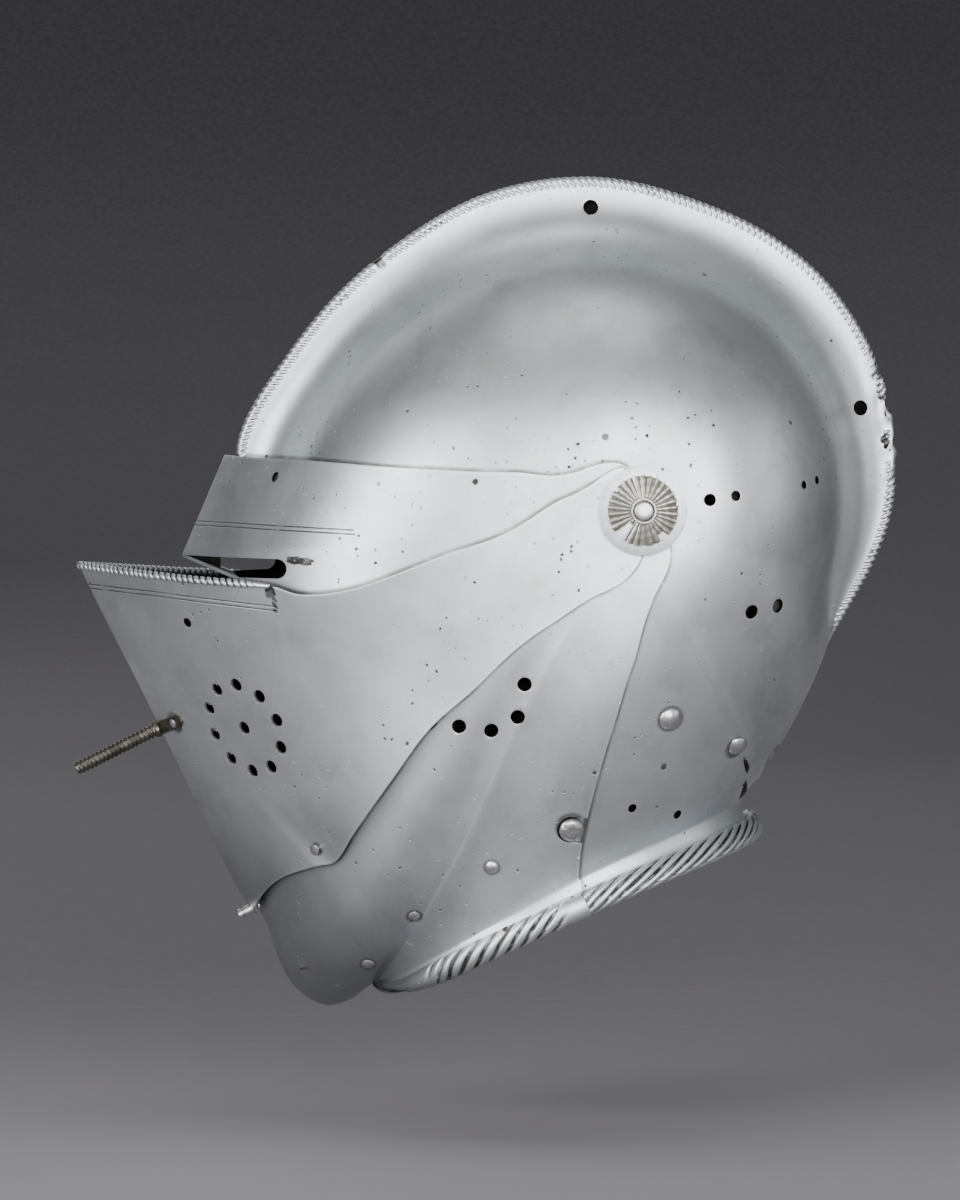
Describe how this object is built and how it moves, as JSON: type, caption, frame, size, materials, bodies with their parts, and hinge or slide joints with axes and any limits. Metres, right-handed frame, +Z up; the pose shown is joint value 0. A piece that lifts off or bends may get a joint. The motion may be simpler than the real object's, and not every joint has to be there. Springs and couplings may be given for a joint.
{
  "type": "close helmet",
  "caption": "Steel close helmet: combed skull, visor with eye slit, prow-shaped upper bevor and lower bevor turning on shared side pivots above a roped neck flange.",
  "frame": {"origin": "midway between the two side pivots, which is the middle of the wearer's head at ear height", "axes": "+X to the wearer's left along the pivot axis, -Y to the wearer's front, +Z up"},
  "size_m": [0.2138, 0.3297, 0.3306],
  "materials": {
    "plate_steel": "satin, lightly pitted and scratched",
    "rivet_steel": "polished heads",
    "dark_iron": "dark, worn",
    "rosette_metal": "worn silvery brass",
    "burr_brass": "dull",
    "strap_leather": "dark vegetable-tanned leather",
    "liner_linen": "dark quilted linen"
  },
  "bodies": {
    "skull_body": {"skull": "plate_steel", "rosette_left": "rosette_metal", "rosette_right": "rosette_metal", "pivot_bolt_left": "rivet_steel", "pivot_bolt_right": "rivet_steel", "pivot_washer_left": "dark_iron", "pivot_washer_right": "dark_iron", "pivot_nut_left": "dark_iron", "pivot_nut_right": "dark_iron", "neck_spring_left": "dark_iron", "neck_spring_right": "dark_iron", "neck_spring_rivets": "dark_iron", "skull_rivets": "rivet_steel", "skull_burrs": "burr_brass", "skull_strap": "strap_leather", "quilted_liner": "liner_linen"},
    "lower_bevor_body": {"lower_bevor": "plate_steel", "catch_spring": "dark_iron", "catch_spring_rivet": "dark_iron", "lower_bevor_rivets": "rivet_steel", "lower_bevor_burrs": "burr_brass", "lower_bevor_strap": "strap_leather"},
    "upper_bevor_body": {"upper_bevor": "plate_steel", "prow_stud": "dark_iron", "prow_stud_rivets": "rivet_steel", "upper_bevor_rivets": "rivet_steel"},
    "visor_body": {"visor": "plate_steel"},
    "catch_button_body": {"catch_button": "rivet_steel"},
    "neck_stud_left_body": {"neck_stud_left": "rivet_steel"},
    "neck_stud_right_body": {"neck_stud_right": "rivet_steel"}
  },
  "joints": [
    {"name": "lower_bevor_lift", "type": "hinge", "parent": "skull_body", "child": "lower_bevor_body", "pos_m": [0, 0, 0], "axis": [-1, 0, 0], "range_deg": [0, 55]},
    {"name": "upper_bevor_lift", "type": "hinge", "parent": "lower_bevor_body", "child": "upper_bevor_body", "pos_m": [0, 0, 0], "axis": [-1, 0, 0], "range_deg": [0, 35]},
    {"name": "visor_lift", "type": "hinge", "parent": "upper_bevor_body", "child": "visor_body", "pos_m": [0, 0, 0], "axis": [-1, 0, 0], "range_deg": [0, 40]},
    {"name": "catch_button_push", "type": "slide", "parent": "lower_bevor_body", "child": "catch_button_body", "axis": [0, 0.896, 0.444], "range_m": [0, 0.004], "stiffness_N_per_m": 600, "springref_m": -0.002, "deforming": ["catch_spring"]},
    {"name": "neck_stud_left_push", "type": "slide", "parent": "skull_body", "child": "neck_stud_left_body", "axis": [-0.9284, -0.1023, 0.3571], "range_m": [0, 0.004], "stiffness_N_per_m": 600, "springref_m": -0.002, "deforming": ["neck_spring_left"]},
    {"name": "neck_stud_right_push", "type": "slide", "parent": "skull_body", "child": "neck_stud_right_body", "axis": [0.9284, -0.1023, 0.3571], "range_m": [0, 0.004], "stiffness_N_per_m": 600, "springref_m": -0.002, "deforming": ["neck_spring_right"]}
  ]
}
